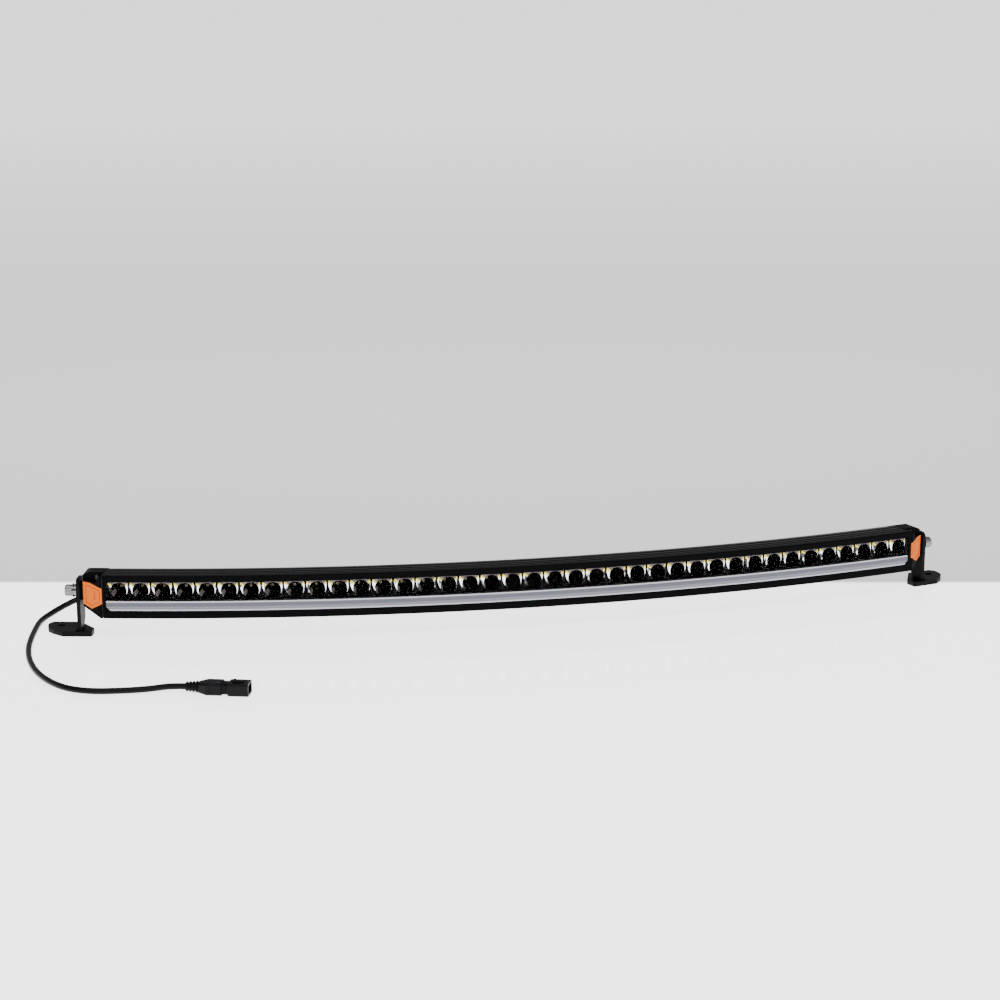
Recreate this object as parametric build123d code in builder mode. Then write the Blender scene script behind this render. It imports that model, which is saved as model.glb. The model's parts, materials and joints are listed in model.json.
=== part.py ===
"""Curved single-row LED light bar with a daylight strip, two swivel feet and a supply lead.

Millimetres, +Z up, front towards -Y, +X to the right seen from the front.
The origin is on the standing plane, under the middle of the bar and its feet.
A place on the bar is given by its depth behind the front face and its height above the underside.
A place on an end is given by its reach outward from the end seam, with the same depth and height.
"""
from build123d import *
import math
import os

os.makedirs("parts", exist_ok=True)

# ---- driving dimensions ----
cell_count = 39                 # lit cells in the row
cell_pitch = 25.8               # along the front arc
modules = 3                     # reflector mouldings, side by side
front_radius = 2060.0           # plan radius of the front face
bar_height = 51.4
bar_depth = 54.0
bar_base = 25.5                 # underside of the bar above the standing plane
end_margin = 3.5                # bezel between the window and the end seam
wall = 3.0
bezel_depth = 8.0
bezel_skin = 2.2
window_low, window_high = 9.2, 44.0
strip_top = 20.6                # the daylight strip fills the window up to here
web_front, web_back = 34.0, 37.0
seat = web_back - 0.2           # milled flats round the gland and the vent
top_depth = 37.5                # the flat top ends here and then slopes down
slope_foot = 46.5               # height of the slope's lower edge
cap_reach = 26.0
gasket = 1.0
pivot_depth, pivot_height = 28.0, 26.5
boss_reach = 30.0
arm_thick = 4.5
foot_thick = 6.0
foot_front, foot_back = 11.0, 53.0
foot_inner, foot_outer = 17.0, 75.0
foot_hole = (58.0, 37.0)        # reach, depth
bolt_r = 4.0                    # M8 pivot bolts
hole_r = 4.5                    # M8 mounting clearance holes
cord_r = 3.5
play = 0.02                     # gap between faces that slide on each other

# ---- the arc ----
window_half = cell_count * cell_pitch / 2
window_angle = math.degrees(window_half / front_radius)
seam_angle = math.degrees((window_half + end_margin) / front_radius)
sin_end, cos_end = math.sin(math.radians(seam_angle)), math.cos(math.radians(seam_angle))
foot_corner = (71.0, foot_back)  # reach and depth of the rearmost corner
total_depth = front_radius * (1 - cos_end) + foot_corner[0] * sin_end + foot_corner[1] * cos_end
centre_y = front_radius - total_depth / 2
curve_axis = Axis((0, centre_y, 0), (0, 0, 1))


def arc_angle(length):
    """Angle about the curve's centre for a length along the front arc."""
    return math.degrees(length / front_radius)


def station(angle, depth=0.0, height=0.0):
    """Plane on the curve: x to the right along the bar, y back, z up."""
    a = math.radians(angle)
    r = front_radius - depth
    origin = (r * math.sin(a), centre_y - r * math.cos(a), bar_base + height)
    return Plane(origin=origin, x_dir=(math.cos(a), math.sin(a), 0), z_dir=(0, 0, 1))


def rear_plane(angle, depth, height):
    """Plane facing back at one place on the curve: x to the left, y up."""
    p = station(angle, depth, height)
    return Plane(origin=p.origin, x_dir=-p.x_dir, z_dir=p.y_dir)


def front_plane(angle, depth, height=0.0):
    """Plane facing forward at one place on the curve: x to the right, y up."""
    p = station(angle, depth, height)
    return Plane(origin=p.origin, x_dir=p.x_dir, z_dir=-p.y_dir)


end = station(seam_angle)
outward, back = end.x_dir, end.y_dir


def side_plane(reach):
    """Plane across the right end: x is depth, y is height, facing outward."""
    return Plane(origin=end.origin + outward * reach, x_dir=back, z_dir=outward)


def pivot_plane(reach):
    """The same, with its origin on the pivot axis."""
    lift = Vector(0, 0, pivot_height)
    return Plane(origin=end.origin + outward * reach + back * pivot_depth + lift,
                 x_dir=back, z_dir=outward)


def elevation(depth):
    """Plane facing forward at the right end: x is reach, y is height."""
    return Plane(origin=end.origin + back * depth, x_dir=outward, z_dir=-back)


def curved(start, stop, *outlines):
    """Solid with closed (depth, height) outlines, turned about the curve's centre."""
    a = math.radians(start)
    section = Plane(origin=(0, centre_y, 0), x_dir=(math.sin(a), -math.cos(a), 0),
                    z_dir=(-math.cos(a), -math.sin(a), 0))
    with BuildPart() as band:
        with BuildSketch(section):
            for outline in outlines:
                with BuildLine():
                    Polyline(*[(front_radius - d, bar_base + h) for d, h in outline], close=True)
                make_face()
        revolve(axis=curve_axis, revolution_arc=stop - start)
    return band.part


def rectangle(depth_a, depth_b, height_a, height_b):
    return [(depth_a, height_a), (depth_b, height_a), (depth_b, height_b), (depth_a, height_b)]


def prism(plane, points, amount):
    """Solid of one outline drawn on a plane and pushed along its normal."""
    with BuildPart() as block:
        with BuildSketch(plane):
            with BuildLine():
                Polyline(*points, close=True)
            make_face()
        extrude(amount=amount)
    return block.part


def save(builder, name):
    builder.part.label = name
    export_step(builder.part, f"parts/{name}.step")


def save_pair(builder, name):
    """Write the right-hand piece and its mirror image."""
    save(builder, f"right_{name}")
    with BuildPart() as opposite:
        mirror(builder.part, about=Plane.YZ)
    save(opposite, f"left_{name}")


# ================= bar =================

# ---- housing: one curved extrusion, tray in front, fins behind ----
ridge = 0.7
top_face = bar_height - ridge
ridge_depths = (22.0, 30.5)
ridge_half = 0.8
fin_thick = 1.8
fin_count = 6
screw_places = ((45.5, 41.0), (45.5, 7.5), (13.0, 46.0))   # depth, height of the cap screws
screw_r = 1.9

top_outline = [(bezel_depth, 48), (bezel_depth, top_face), (12, top_face), (12, top_face - 0.9),
               (16, top_face - 0.9), (16, top_face)]
for d in ridge_depths:
    top_outline += [(d - ridge_half, top_face), (d - ridge_half, bar_height),
                    (d + ridge_half, bar_height), (d + ridge_half, top_face)]
top_outline += [(top_depth - 1, top_face), (top_depth, top_face - 0.6), (bar_depth, slope_foot),
                (bar_depth, slope_foot - 2), (web_back, 48)]

gland_inset = 24.0
gland_angle = -arc_angle(window_half + end_margin - gland_inset)
gland_height = 14.0
vent_angle = arc_angle(330)
vent_height = 14.0

fins = []
for i in range(fin_count):
    low = 6.6 + i * (slope_foot - 9.6) / fin_count
    fins.append(rectangle(web_back - 0.5, bar_depth, low, low + fin_thick))
floor_outline = [(bezel_depth, 0), (bar_depth - 1, 0), (bar_depth, 1), (bar_depth, wall),
                 (bezel_depth, wall)]

with BuildPart() as housing:
    with BuildSketch(Plane(origin=(0, centre_y, 0), x_dir=(-sin_end, -cos_end, 0),
                           z_dir=(-cos_end, sin_end, 0))):
        for outline in (top_outline, rectangle(web_front, web_back, 1, 49.5), floor_outline, *fins):
            with BuildLine():
                Polyline(*[(front_radius - d, bar_base + h) for d, h in outline], close=True)
            make_face()
        for depth, height in screw_places:
            with Locations((front_radius - depth, bar_base + height)):
                RegularPolygon(3.2, 8)
    revolve(axis=curve_axis, revolution_arc=2 * seam_angle)
    for side in (-1, 1):
        for depth, height in screw_places:
            p = station(side * seam_angle, depth, height)
            with Locations(Plane(origin=p.origin, x_dir=p.y_dir, z_dir=p.x_dir)):
                Cylinder(screw_r + 0.05, 26, mode=Mode.SUBTRACT)
    for angle, height, pocket, bore in ((gland_angle, gland_height, 10.5, 5.6),
                                        (vent_angle, vent_height, 9.0, 3.6)):
        with BuildSketch(rear_plane(angle, seat, height)):
            Circle(pocket)
        extrude(amount=30, mode=Mode.SUBTRACT)
        with BuildSketch(rear_plane(angle, web_front - 1, height)):
            Circle(bore)
        extrude(amount=10, mode=Mode.SUBTRACT)
save(housing, "housing")

# ---- front bezel: frame round the window ----
end_wall = arc_angle(1.2)
corner_run, corner_rise = 6.5, 5.0               # slanted lower corners of the window
corner_play = 0.15                               # gap between a gusset and the strip
corner_relief = 0.2                              # shallow pocket in the strip behind a gusset


def window_corner(side, depth_a, depth_b, grow=0.0):
    """Gusset that closes a lower corner of the window."""
    low = window_low - 1
    points = [(side * -(corner_run + grow), low), (side, low), (side, low + corner_rise + 1 + grow)]
    return prism(front_plane(side * window_angle, depth_b), points, depth_b - depth_a)


with BuildPart() as front_bezel:
    add(curved(-seam_angle, seam_angle,
               [(0, window_high), (0, bar_height - 0.8), (0.8, bar_height), (bezel_depth, bar_height),
                (bezel_depth, 48), (bezel_skin, 48), (bezel_skin, window_high)]))
    add(curved(-seam_angle, seam_angle,
               [(0, window_low), (bezel_skin, window_low), (bezel_skin, wall), (bezel_depth, wall),
                (bezel_depth, 0), (0.8, 0), (0, 0.8)]))
    for start, stop in ((-seam_angle, -window_angle), (window_angle, seam_angle)):
        add(curved(start, stop, rectangle(0, bezel_skin, 2, 49)))
    for start, stop in ((-seam_angle, -seam_angle + end_wall), (seam_angle - end_wall, seam_angle)):
        add(curved(start, stop, rectangle(1, bezel_depth, 2, 49)))
    for side in (-1, 1):
        add(window_corner(side, 0, bezel_skin))
save(front_bezel, "front_bezel")

# ---- clear lens, milky daylight strip and their gasket ----
glazing_angle = seam_angle - arc_angle(1.5)
lens_back = 4.7
glazing_low, glazing_high = 3.3, 47.8
with BuildPart() as lens:
    add(curved(-glazing_angle, glazing_angle,
               rectangle(bezel_skin, lens_back, strip_top + 0.2, glazing_high)))
save(lens, "lens")

proud, rib = 0.5, 0.5
strip_angle = window_angle - arc_angle(0.15)
rib_edges = (9.4, 10.8, 11.4, 14.2, 14.8, 18.6, 19.2, strip_top)
strip_face = [(proud + (0 if (i // 2) % 2 == 0 else rib), h) for i, h in enumerate(rib_edges)]
with BuildPart() as daylight_diffuser:
    add(curved(-glazing_angle, glazing_angle, rectangle(bezel_skin, lens_back, glazing_low, strip_top)))
    add(curved(-strip_angle, strip_angle, strip_face + [(3, strip_top), (3, 9.4)]))
    for side in (-1, 1):
        add(window_corner(side, -1, bezel_skin + corner_relief, grow=corner_play), mode=Mode.SUBTRACT)
save(daylight_diffuser, "daylight_diffuser")

with BuildPart() as lens_gasket:
    for low, high in ((glazing_low, 6.3), (45.0, glazing_high)):
        add(curved(-glazing_angle, glazing_angle, rectangle(lens_back, lens_back + 1.5, low, high)))
    for start, stop in ((-glazing_angle, -window_angle), (window_angle, glazing_angle)):
        add(curved(start, stop, rectangle(lens_back, lens_back + 1.5, 5, 46)))
save(lens_gasket, "lens_gasket")

# ---- reflector mouldings with a cup for each cell ----
cup_front, cup_back = 6.4, 31.0
cup_height = 31.9
cup_mouth, cup_root = 10.6, 3.2
cup_lead = 0.5                  # the cup's cone runs past both faces of the moulding
cells_per_module = cell_count // modules
module_gap = arc_angle(0.2)
module_names = ("left", "middle", "right")


def cell_angle(i):
    """Angle of cell i, counted from the left."""
    return arc_angle((i - (cell_count - 1) / 2) * cell_pitch)


def plan_point(angle, depth):
    p = station(angle, depth).origin
    return (p.X, p.Y)


for m, name in enumerate(module_names):
    first = m * cells_per_module
    seams = [cell_angle(first + i - 0.5) for i in range(cells_per_module + 1)]
    seams[0] += module_gap
    seams[-1] -= module_gap
    with BuildPart() as reflector:
        with BuildSketch(Plane.XY.offset(bar_base + 21.0)):
            with BuildLine():
                Polyline(*[plan_point(a, cup_front) for a in seams],
                         *[plan_point(a, cup_back) for a in reversed(seams)], close=True)
            make_face()
        extrude(amount=21.8)
        for i in range(first, first + cells_per_module):
            with Locations(rear_plane(cell_angle(i), cup_front - cup_lead, cup_height)):
                Cone(cup_mouth, cup_root, cup_back - cup_front + 2 * cup_lead,
                     align=(Align.CENTER, Align.CENTER, Align.MIN), mode=Mode.SUBTRACT)
    save(reflector, f"{name}_reflector")

# ---- main board with its emitters, and the pad that carries their heat ----
board_front, board_back = 31.3, 32.9
board_angle = window_angle + arc_angle(1)
emitter = (3.5, 0.7, 3.5)
with BuildPart() as led_board:
    add(curved(-board_angle, board_angle, rectangle(board_front, board_back, 21.5, 46.0)))
save(led_board, "led_board")

with BuildPart() as thermal_pad:
    add(curved(-board_angle, board_angle, rectangle(board_back, web_front, 22.0, 45.5)))
save(thermal_pad, "thermal_pad")

with BuildPart() as leds:
    for i in range(cell_count):
        with Locations(station(cell_angle(i), board_front - emitter[1] / 2 - play, cup_height)):
            Box(*emitter)
save(leds, "leds")

# ---- board and emitters behind the daylight strip ----
day_front, day_back = 15.0, 16.4
day_per_cell = 2
with BuildPart() as daylight_board:
    add(curved(-board_angle, board_angle, rectangle(day_front, day_back, 9.4, 20.2)))
save(daylight_board, "daylight_board")

with BuildPart() as daylight_leds:
    for i in range(cell_count * day_per_cell):
        along = (i - (cell_count * day_per_cell - 1) / 2) * cell_pitch / day_per_cell
        with Locations(station(arc_angle(along), day_front - 0.45, 14.8)):
            Box(3.5, 0.8, 2.8)
save(daylight_leds, "daylight_leds")

# ---- current driver: flat board on standoffs, behind the daylight board ----
driver_angle = gland_angle + arc_angle(125)
driver_length, driver_thick, driver_front = 170.0, 1.6, 24.0
driver_low, driver_high = 3.8, 19.8
driver_mid = (driver_low + driver_high) / 2
with BuildPart() as driver_board:
    with Locations(station(driver_angle, driver_front + driver_thick / 2, driver_mid)):
        Box(driver_length, driver_thick, driver_high - driver_low)
save(driver_board, "driver_board")

standoff_x = (-45.0, 0.0, 45.0)
with BuildPart() as driver_standoffs:
    for x in standoff_x:
        with BuildSketch(rear_plane(driver_angle, driver_front + driver_thick, driver_mid)):
            with Locations((x, 0)):
                RegularPolygon(3.0, 6)
        extrude(amount=web_front - driver_front - driver_thick - 0.1)
save(driver_standoffs, "driver_standoffs")

driver_face = front_plane(driver_angle, driver_front, driver_mid)
with BuildPart() as driver_parts:
    for x in (-30.0, -12.0, 6.0):                       # chokes
        with BuildSketch(driver_face):
            with Locations((x, 0)):
                Circle(5.5)
        extrude(amount=5.5)
    for x in (22.0, 34.0):                              # capacitors
        with BuildSketch(driver_face):
            with Locations((x, 0)):
                Circle(4.0)
        extrude(amount=6.0)
    for x in (-60.0, -50.0, 48.0, 58.0, 68.0):          # switching transistors
        with BuildSketch(driver_face):
            with Locations((x, 0)):
                Rectangle(6.5, 6.0)
        extrude(amount=1.6)
    with BuildSketch(driver_face):                      # terminal block, next to the gland
        with Locations((-driver_length / 2 + 6, 0)):
            Rectangle(8.0, 10.0)
    extrude(amount=4.0)
save(driver_parts, "driver_parts")

# ---- cable gland through the web, near the left end ----
gland_out = 60.0
with BuildPart() as cable_gland:
    with BuildSketch(rear_plane(gland_angle, web_front - 4, gland_height)):
        RegularPolygon(7.5, 6)
    extrude(amount=4)
    with BuildSketch(rear_plane(gland_angle, web_front, gland_height)):
        Circle(5.5)
    extrude(amount=seat - web_front)
    with BuildSketch(rear_plane(gland_angle, seat, gland_height)):
        RegularPolygon(9.0, 6)
    extrude(amount=5)
    with BuildSketch(rear_plane(gland_angle, seat + 5, gland_height)):
        Circle(7.6)
    extrude(amount=9)
    fillet(cable_gland.edges().sort_by(Axis((0, 0, 0), tuple(rear_plane(gland_angle, 0, 0).z_dir)))[-1],
           radius=1.5)
    with BuildSketch(rear_plane(gland_angle, seat + 14, gland_height)):
        Circle(5.4)
    with BuildSketch(rear_plane(gland_angle, gland_out, gland_height)):
        Circle(4.4)
    loft()
save(cable_gland, "cable_gland")

# ---- two leads from the gland to the terminal block ----
gland_in = station(gland_angle)
with BuildPart() as board_leads:
    for row in (-2.2, 2.2):
        start = gland_in.from_local_coords((0, web_front - 4 - play, gland_height + row))
        turn = gland_in.from_local_coords((0, 22, gland_height + row))
        goal = driver_face.from_local_coords((-driver_length / 2 + 2 - play, row, 2.0))
        near = driver_face.from_local_coords((-driver_length / 2 - 10, row, 2.0))
        with BuildLine():
            FilletPolyline(start, turn, near, goal, radius=(4.0, 12.0))
        with BuildSketch(Plane(origin=start, z_dir=turn - start)):
            Circle(1.1)
        sweep()
save(board_leads, "board_leads")

# ---- breather vent through the web ----
with BuildPart() as breather_vent:
    with BuildSketch(rear_plane(vent_angle, web_front - 1.5, vent_height)):
        Circle(5.2)
    extrude(amount=1.5)
    with BuildSketch(rear_plane(vent_angle, web_front, vent_height)):
        Circle(3.5)
    extrude(amount=seat - web_front)
    with BuildSketch(rear_plane(vent_angle, seat, vent_height)):
        Circle(6.5)
    extrude(amount=4.5)
    with BuildSketch(rear_plane(vent_angle, seat + 4.5, vent_height)):
        with PolarLocations(4.6, 6):
            Rectangle(2.4, 1.2)
    extrude(amount=-1.5, mode=Mode.SUBTRACT)
save(breather_vent, "breather_vent")

# ================= ends: right-hand pieces and their mirror images =================

bar_outline = [(0, 0.8), (0.8, 0), (bar_depth - 1, 0), (bar_depth, 1), (bar_depth, slope_foot),
               (top_depth, bar_height), (0.8, bar_height), (0, bar_height - 0.8)]

# ---- gasket between the housing and the cap ----
with BuildPart() as cap_gasket:
    with BuildSketch(side_plane(0)):
        with BuildLine():
            Polyline(*bar_outline, close=True)
        make_face()
        offset(amount=-1.0, mode=Mode.REPLACE)
        with Locations((pivot_depth, pivot_height - 2)):
            Rectangle(22, 28, mode=Mode.SUBTRACT)
        with Locations(*screw_places):
            Circle(screw_r + 0.15, mode=Mode.SUBTRACT)
    extrude(amount=gasket)
save_pair(cap_gasket, "cap_gasket")

# ---- end cap: facetted in plan, with a slanted lower corner and a notch above ----
facet = [(3.5, 0), (cap_reach, 15.0)]            # reach, depth: front facet in plan
slant = [(2.5, 0), (cap_reach, 11.0)]            # reach, height: lower outer corner
notch_depth, notch_floor = 17.0, 42.0
notch_reach = 7.0


def cap_envelope(inset=0.0):
    """Solid bounded by the cap's faces, or by faces a little inside its front and its side."""
    far = cap_reach - inset
    with BuildPart() as body:
        with BuildSketch(side_plane(gasket)):
            with BuildLine():
                Polyline(*bar_outline, close=True)
            make_face()
        extrude(amount=far - gasket)
        front_a = (facet[0][0] - inset / 2, inset)
        front_b = (far, facet[1][1] + inset * 0.8)
        add(prism(end, [front_a, front_b, (30, front_b[1]), (30, -1), (-1, -1), (-1, inset)], 60),
            mode=Mode.SUBTRACT)
        add(prism(end, [(19, bar_depth), (cap_reach, 46), (30, 46), (30, 60), (19, 60)], 60),
            mode=Mode.SUBTRACT)
    return body.part


insert_outline = [(0.6, 18.0), (0.6, 36.2), (16.5, 40.8), (40.0, 40.8), (40.0, 14.0), (26.0, 14.0),
                  (14.5, 9.8)]
insert_thick = 2.2
insert_wrap = 21.0
insert_zone = prism(elevation(insert_wrap), insert_outline, insert_wrap + 5)

# ---- orange corner insert, wrapped over the facet and the side, with an engraved outline ----
groove = 0.5
groove_outer = [(3.0, 20.4), (3.0, 34.0), (15.5, 37.4), (22.5, 37.4), (22.5, 16.6), (14.5, 13.2)]
groove_inner = [(4.2, 21.2), (4.2, 33.2), (15.7, 36.2), (21.3, 36.2), (21.3, 17.8), (14.8, 14.6)]
badge_slot = [(9.0, 22.5), (11.2, 22.5), (11.2, 31.5), (9.0, 31.5)]
with BuildPart() as groove_zone:
    add(prism(elevation(40), groove_outer, 45))
    add(prism(elevation(40), groove_inner, 45), mode=Mode.SUBTRACT)
    add(prism(elevation(40), badge_slot, 45))
    add(cap_envelope(groove), mode=Mode.SUBTRACT)

with BuildPart() as insert:
    add(cap_envelope())
    add(cap_envelope(insert_thick), mode=Mode.SUBTRACT)
    add(insert_zone, mode=Mode.INTERSECT)
    with BuildSketch(pivot_plane(cap_reach - 8)):
        Circle(12.2)
    extrude(amount=20, mode=Mode.SUBTRACT)
    add(groove_zone.part, mode=Mode.SUBTRACT)
save_pair(insert, "insert")

# ---- the cap itself ----
with BuildPart() as end_cap:
    add(cap_envelope())
    add(prism(elevation(60), [slant[0], slant[1], (30, slant[1][1]), (30, -5), (slant[0][0], -5)], 70),
        mode=Mode.SUBTRACT)
    add(prism(elevation(notch_depth), [(2.0, 53), (2.0, bar_height), (notch_reach, 46.5),
                                       (notch_reach, notch_floor), (30, notch_floor), (30, 53)], 20),
        mode=Mode.SUBTRACT)
    add(prism(elevation(60), [(19, bar_height), (cap_reach, 48.4), (30, 48.4), (30, 55), (19, 55)], 70),
        mode=Mode.SUBTRACT)
    with BuildSketch(side_plane(gasket)):
        with Locations((pivot_depth, pivot_height - 2)):
            Rectangle(22, 28)
    extrude(amount=9, mode=Mode.SUBTRACT)
    with BuildSketch(pivot_plane(cap_reach - 12)):
        Circle(bolt_r + play)
    extrude(amount=13, mode=Mode.SUBTRACT)
    for depth, height in screw_places:
        with BuildSketch(side_plane(0)):
            with Locations((depth, height)):
                Circle(screw_r + 0.15)
        extrude(amount=40, mode=Mode.SUBTRACT)
    for depth, height in screw_places[:2]:
        with BuildSketch(side_plane(cap_reach - 4.5)):
            with Locations((depth, height)):
                Circle(4.2)
        extrude(amount=20, mode=Mode.SUBTRACT)
    with BuildSketch(pivot_plane(cap_reach - 8)):
        Circle(12.2)
    extrude(amount=20)
    add(cap_envelope(), mode=Mode.INTERSECT)
    with BuildSketch(pivot_plane(cap_reach - 12)):
        Circle(bolt_r + play)
    extrude(amount=13, mode=Mode.SUBTRACT)
    add(insert.part, mode=Mode.SUBTRACT)
    add(groove_zone.part, mode=Mode.SUBTRACT)
save_pair(end_cap, "end_cap")

# ---- cap screws: pan heads with a hex socket ----
screw_head_r, screw_head_thick = 3.7, 2.6
heads_at = (cap_reach - 4.5, cap_reach - 4.5, notch_reach)
with BuildPart() as cap_screws:
    for (depth, height), reach in zip(screw_places, heads_at):
        with BuildSketch(side_plane(reach)):
            with Locations((depth, height)):
                Circle(screw_head_r)
        extrude(amount=screw_head_thick)
        with BuildSketch(side_plane(-12)):
            with Locations((depth, height)):
                Circle(screw_r - 0.05)
        extrude(amount=reach + 12)
        with BuildSketch(side_plane(reach + screw_head_thick)):
            with Locations((depth, height)):
                RegularPolygon(1.4, 6)
        extrude(amount=-1.6, mode=Mode.SUBTRACT)
save_pair(cap_screws, "cap_screws")

# ---- pivot boss with a toothed rim, clamped between the cap and the bracket ----
teeth = 24
boss_r = 11.5
with BuildPart() as pivot_boss:
    with BuildSketch(pivot_plane(cap_reach)):
        Circle(boss_r)
        with PolarLocations(boss_r, teeth):
            Circle(0.6, mode=Mode.SUBTRACT)
        Circle(bolt_r + play, mode=Mode.SUBTRACT)
    extrude(amount=boss_reach - cap_reach)
save_pair(pivot_boss, "pivot_boss")

# ================= feet =================
arm_in = boss_reach + play
arm_out = arm_in + arm_thick
arm_front, arm_back = 15.0, 41.0
arm_top = pivot_height + 16.5
foot_low, foot_high = -bar_base, foot_thick - bar_base
foot_outline = [(foot_inner + 2, foot_front), (52, foot_front), (64, 20), (72, 29), (foot_outer, 38),
                (foot_outer, 47), (foot_corner[0], foot_back), (38, foot_back), (foot_inner, 27),
                (foot_inner, 13)]

with BuildPart() as bracket:
    with BuildSketch(side_plane(arm_in)):
        with BuildLine():
            Polyline((arm_front, foot_low + 2), (arm_front, arm_top), (arm_back, arm_top),
                     (arm_back, foot_high + 12), (arm_back - 9, foot_high), (arm_back - 9, foot_low + 2),
                     close=True)
        make_face()
        fillet(vertices().group_by(Axis.Y)[-1], radius=7)
    extrude(amount=arm_thick)
    with BuildSketch(Plane(origin=end.origin + Vector(0, 0, foot_low), x_dir=outward, z_dir=(0, 0, 1))):
        with BuildLine():
            Polyline(*foot_outline, close=True)
        make_face()
        fillet(vertices(), radius=2.5)
    extrude(amount=foot_thick)
    add(prism(elevation(arm_back - 9), [(arm_out, foot_high + 4), (arm_out - 0.5, foot_high + 4),
                                        (arm_out - 0.5, foot_high - 0.5), (arm_out + 4, foot_high - 0.5),
                                        (arm_out + 4, foot_high), (arm_out + 1.2, foot_high + 1.2)],
              arm_back - 9 - arm_front))
    with BuildSketch(pivot_plane(arm_in - 1)):
        Circle(bolt_r + 0.06)
    extrude(amount=arm_thick + 3, mode=Mode.SUBTRACT)
    hole_at = end.origin + outward * foot_hole[0] + back * foot_hole[1] + Vector(0, 0, foot_low - 1)
    with BuildSketch(Plane(origin=hole_at, z_dir=(0, 0, 1))):
        Circle(hole_r)
    extrude(amount=foot_thick + 2, mode=Mode.SUBTRACT)
save_pair(bracket, "bracket")

# ---- pivot bolt and its washers ----
washer_r, washer_thick = 8.5, 2.0
spring_r, spring_thick = 7.4, 2.5
flange_r, flange_thick = 8.2, 2.0
head_r, head_height = 6.8, 8.6
hex_r, hex_depth = 3.4, 4.5
bolt_grip = 11.5                # length of shank inside the cap
washer_at = arm_out + play
spring_at = washer_at + washer_thick
head_at = spring_at + spring_thick
with BuildPart() as washer:
    with BuildSketch(pivot_plane(washer_at)):
        Circle(washer_r)
        Circle(bolt_r + 0.2, mode=Mode.SUBTRACT)
    extrude(amount=washer_thick)
save_pair(washer, "washer")

with BuildPart() as spring_washer:
    with BuildSketch(pivot_plane(spring_at)):
        Circle(spring_r)
        Circle(bolt_r + 0.2, mode=Mode.SUBTRACT)
        with Locations((5.8, 0)):
            Rectangle(5, 0.9, rotation=25, mode=Mode.SUBTRACT)
    extrude(amount=spring_thick)
save_pair(spring_washer, "spring_washer")

with BuildPart() as bolt:
    with BuildSketch(pivot_plane(cap_reach - bolt_grip)):
        Circle(bolt_r)
    extrude(amount=head_at - cap_reach + bolt_grip)
    with BuildSketch(pivot_plane(head_at)):
        Circle(flange_r)
    extrude(amount=flange_thick)
    with BuildSketch(pivot_plane(head_at + flange_thick)):
        Circle(head_r)
    extrude(amount=head_height)
    fillet(bolt.edges().sort_by(Axis((0, 0, 0), tuple(outward)))[-1], radius=0.8)
    with BuildSketch(pivot_plane(head_at + flange_thick + head_height)):
        RegularPolygon(hex_r, 6)
    extrude(amount=-hex_depth, mode=Mode.SUBTRACT)
save_pair(bolt, "bolt")

# ================= supply lead =================
plug_turn = -18.0                                # heading of the plug on the standing plane
plug_dir = Vector(math.cos(math.radians(plug_turn)), math.sin(math.radians(plug_turn)), 0)
plug_start = Vector(-424.0, -223.0, 7.2)
cord_exit = rear_plane(gland_angle, gland_out, gland_height)

# The lead leaves the gland backward, drops behind the left foot, rounds it and ends in front.
route = [
    cord_exit.origin,
    cord_exit.origin + cord_exit.z_dir * 20,
    Vector(-464.4, 92.8, 37.0),
    Vector(-480.8, 111.6, 31.5),
    Vector(-506.2, 120.9, 24.0),
    Vector(-535.1, 118.9, 14.5),
    Vector(-557.5, 104.5, 6.8),
    Vector(-573.4, 80.4, 3.8),
    Vector(-579.5, 46.5, 3.6),
    Vector(-585.0, 9.0, 3.6),
    Vector(-589.0, -34.0, 3.6),
    Vector(-588.0, -80.0, 3.6),
    Vector(-581.0, -125.0, 3.6),
    Vector(-567.5, -164.0, 3.6),
    Vector(-549.0, -193.0, 3.6),
    Vector(-523.0, -208.5, 3.6),
    Vector(-489.0, -213.0, 3.6),
    Vector(-461.0, -213.5, 3.8),
    plug_start - plug_dir * 16,
    plug_start,
]
runs = [b - a for a, b in zip(route, route[1:])]
bends = []
for before, after in zip(runs, runs[1:]):
    turn = before.get_angle(after)
    bends.append(0.45 * min(before.length, after.length) / math.tan(math.radians(turn) / 2))
print("cord radii", [round(r) for r in bends])

with BuildPart() as cord:
    with BuildLine() as cord_path:
        FilletPolyline(*route, radius=bends)
    with BuildSketch(Plane(origin=route[0], z_dir=runs[0])):
        Circle(cord_r)
    sweep()
cord_length = sum(edge.length for edge in cord_path.edges())
print("cord length", round(cord_length, 1), "volume ratio",
      round(cord.part.volume / (math.pi * cord_r ** 2 * cord_length), 4))
save(cord, "cord")


def plug_plane(along, lift=0.0):
    """Plane across the plug: x to its left, y up, facing its mouth."""
    origin = plug_start + plug_dir * along + Vector(0, 0, lift)
    return Plane(origin=origin, x_dir=Vector(0, 0, 1).cross(plug_dir), z_dir=plug_dir)


# ---- ribbed boot where the lead enters the plug ----
boot_length, ribs = 15.0, 4
with BuildPart() as plug_boot:
    with BuildSketch(plug_plane(0)):
        Circle(4.4)
    with BuildSketch(plug_plane(boot_length)):
        Circle(5.2)
    loft()
    for i in range(ribs):
        with BuildSketch(plug_plane(1.2 + i * 3.6)):
            Circle(5.6 + 0.35 * i)
        extrude(amount=2.0)
save(plug_boot, "plug_boot")

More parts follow.
